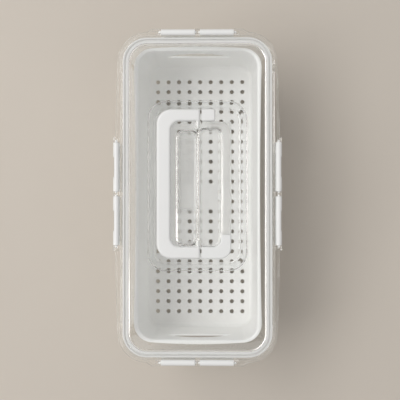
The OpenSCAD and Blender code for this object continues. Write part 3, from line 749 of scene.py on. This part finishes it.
def add_lathe(bm, centre, profile, steps=24):
    """Closed ring, a profile of (radius, height) turned about Z"""
    rings = []
    for radius, height in profile:
        rings.append([
            bm.verts.new((
                centre[0] + radius * math.cos(2 * math.pi * i / steps),
                centre[1] + radius * math.sin(2 * math.pi * i / steps),
                centre[2] + height,
            ))
            for i in range(steps)
        ])
    for lower, upper in zip(rings, rings[1:] + rings[:1]):
        for i in range(steps):
            j = (i + 1) % steps
            bm.faces.new((lower[i], lower[j], upper[j], upper[i]))


# Stage


def area_lamp(name, place, size, power, tint):
    """Soft rectangular lamp that faces the box"""
    lamp = bpy.data.lights.new(name, "AREA")
    lamp.shape = "RECTANGLE"
    lamp.size, lamp.size_y = size
    lamp.energy = power
    lamp.color = tint
    holder = bpy.data.objects.new(name, lamp)
    bpy.context.scene.collection.objects.link(holder)
    holder.location = place
    aim = Vector((0, 0, CAD_BOX[1][2] / 2))
    holder.rotation_euler = (aim - Vector(place)).to_track_quat("-Z", "Y").to_euler()


def studio_world(level, backdrop):
    """Even light on what is matt, and a pale backdrop for the camera and for what is clear or glossy"""
    world = bpy.data.worlds.new("studio")
    world.use_nodes = True
    t = Tree(world.node_tree)
    light = t.nodes["Background"]
    t.put(light.inputs["Color"], SKY_COLOUR)
    t.put(light.inputs["Strength"], level)
    seen = t.add("ShaderNodeBackground", {"Color": (*backdrop, 1), "Strength": 1.0})
    rays = t.add("ShaderNodeLightPath").outputs
    direct = t.math("MAXIMUM", rays["Is Camera Ray"], rays["Is Glossy Ray"])
    mask = t.math("MAXIMUM", direct, rays["Is Transmission Ray"])
    mix = t.add("ShaderNodeMixShader", {0: mask, 1: light.outputs[0], 2: seen.outputs[0]})
    t.put(t.nodes["World Output"].inputs["Surface"], mix.outputs[0])
    return world


def floor_material(tint):
    """Plain matt floor with a faint change of tone"""
    material = bpy.data.materials.new("floor")
    material.use_nodes = True
    t = Tree(material.node_tree)
    place = t.add("ShaderNodeTexCoord").outputs["Object"]
    cloud = t.add("ShaderNodeTexNoise", {"Vector": place, "Scale": 3.0, "Detail": 3.0})
    dark = [c * FLOOR_DARK for c in tint]
    light = [c * FLOOR_LIGHT for c in tint]
    tone = t.add(
        "ShaderNodeMix", {"Factor": cloud.outputs[0], 6: (*dark, 1), 7: (*light, 1)}, data_type="RGBA"
    )
    shader = t.nodes["Principled BSDF"]
    t.put(shader.inputs["Base Color"], tone.outputs[2])
    t.put(shader.inputs["Roughness"], 0.85)
    return material


class FRIDGE_BOX_OT_stage(bpy.types.Operator):
    """Pale floor, soft light and the camera"""

    bl_idname = "fridge_box.stage"
    bl_label = "Stage"

    def execute(self, context):
        scene = context.scene
        stage = scene.fridge_box_stage
        bm = bmesh.new()
        bmesh.ops.create_grid(bm, x_segments=8, y_segments=8, size=FLOOR_HALF)
        mesh = bpy.data.meshes.new("floor")
        bm.to_mesh(mesh)
        bm.free()
        mesh.transform(Matrix.Translation((0, 0, -FLOOR_DROP)))
        mesh.materials.append(floor_material(stage.floor_colour))
        floor = bpy.data.objects.new("floor", mesh)
        scene.collection.objects.link(floor)
        scene.world = studio_world(stage.world_level, stage.backdrop_colour)
        area_lamp(
            "key", place=(-1.1, 0.3, 1.75), size=(2.4, 0.95), power=stage.key_power, tint=(1, 0.99, 0.975)
        )
        area_lamp(
            "fill", place=(0.95, -0.45, 1.75), size=(1.2, 0.5), power=stage.fill_power, tint=(1, 0.98, 0.95)
        )
        data = bpy.data.cameras.new("camera")
        data.sensor_width = SENSOR_WIDTH
        data.lens = SENSOR_WIDTH * CAMERA_REACH
        data.clip_start = 0.05
        camera = bpy.data.objects.new("camera", data)
        scene.collection.objects.link(camera)
        target = Vector((*CAMERA_AIM, CAD_BOX[1][2]))
        turn = Matrix.Rotation(stage.camera_swing, 3, "Y") @ Matrix.Rotation(stage.camera_dip, 3, "X")
        camera.location = target + stage.camera_distance * (turn @ Vector((0, 0, 1)))
        camera.rotation_euler = turn.to_euler()
        scene.camera = camera
        scene.view_settings.view_transform = "Standard"
        for kind in ("max_bounces", "transmission_bounces", "transparent_max_bounces", "glossy_bounces"):
            setattr(scene.cycles, kind, LIGHT_BOUNCES)
        scene.cycles.diffuse_bounces = LIGHT_BOUNCES // 2
        return {"FINISHED"}


class FRIDGE_BOX_PT_panel(bpy.types.Panel):
    """Lists the steps that make the box"""

    bl_idname = "FRIDGE_BOX_PT_panel"
    bl_label = "Fridge Organizer Box"
    bl_space_type = "VIEW_3D"
    bl_region_type = "UI"
    bl_category = "Fridge Box"

    def draw(self, context):
        for step in STEPS:
            self.layout.operator(step.bl_idname)
        for name in GROUPS:
            group = getattr(context.scene, name)
            box = self.layout.box()
            for key in group.__annotations__:
                box.prop(group, key)


STEPS = (
    FRIDGE_BOX_OT_plastics,
    FRIDGE_BOX_OT_body,
    FRIDGE_BOX_OT_basket,
    FRIDGE_BOX_OT_hole_lips,
    FRIDGE_BOX_OT_lid,
    FRIDGE_BOX_OT_handle,
    FRIDGE_BOX_OT_latches,
    FRIDGE_BOX_OT_latch_ribs,
    FRIDGE_BOX_OT_marks,
    FRIDGE_BOX_OT_stage,
)
GROUPS = {
    "fridge_box_plastics": FridgeBoxPlastics,
    "fridge_box_details": FridgeBoxDetails,
    "fridge_box_stage": FridgeBoxStage,
}


def register():
    for item in (*GROUPS.values(), *STEPS, FRIDGE_BOX_PT_panel):
        bpy.utils.register_class(item)
    for name, group in GROUPS.items():
        setattr(bpy.types.Scene, name, PointerProperty(type=group))


def unregister():
    for name in GROUPS:
        delattr(bpy.types.Scene, name)
    for item in reversed((*GROUPS.values(), *STEPS, FRIDGE_BOX_PT_panel)):
        bpy.utils.unregister_class(item)


def main():
    register()
    bpy.ops.fridge_box.plastics()
    bpy.ops.fridge_box.body()
    bpy.ops.fridge_box.basket()
    bpy.ops.fridge_box.hole_lips()
    bpy.ops.fridge_box.lid()
    bpy.ops.fridge_box.handle()
    bpy.ops.fridge_box.latches()
    bpy.ops.fridge_box.latch_ribs()
    bpy.ops.fridge_box.marks()
    bpy.ops.fridge_box.stage()


if __name__ == "__main__":
    main()
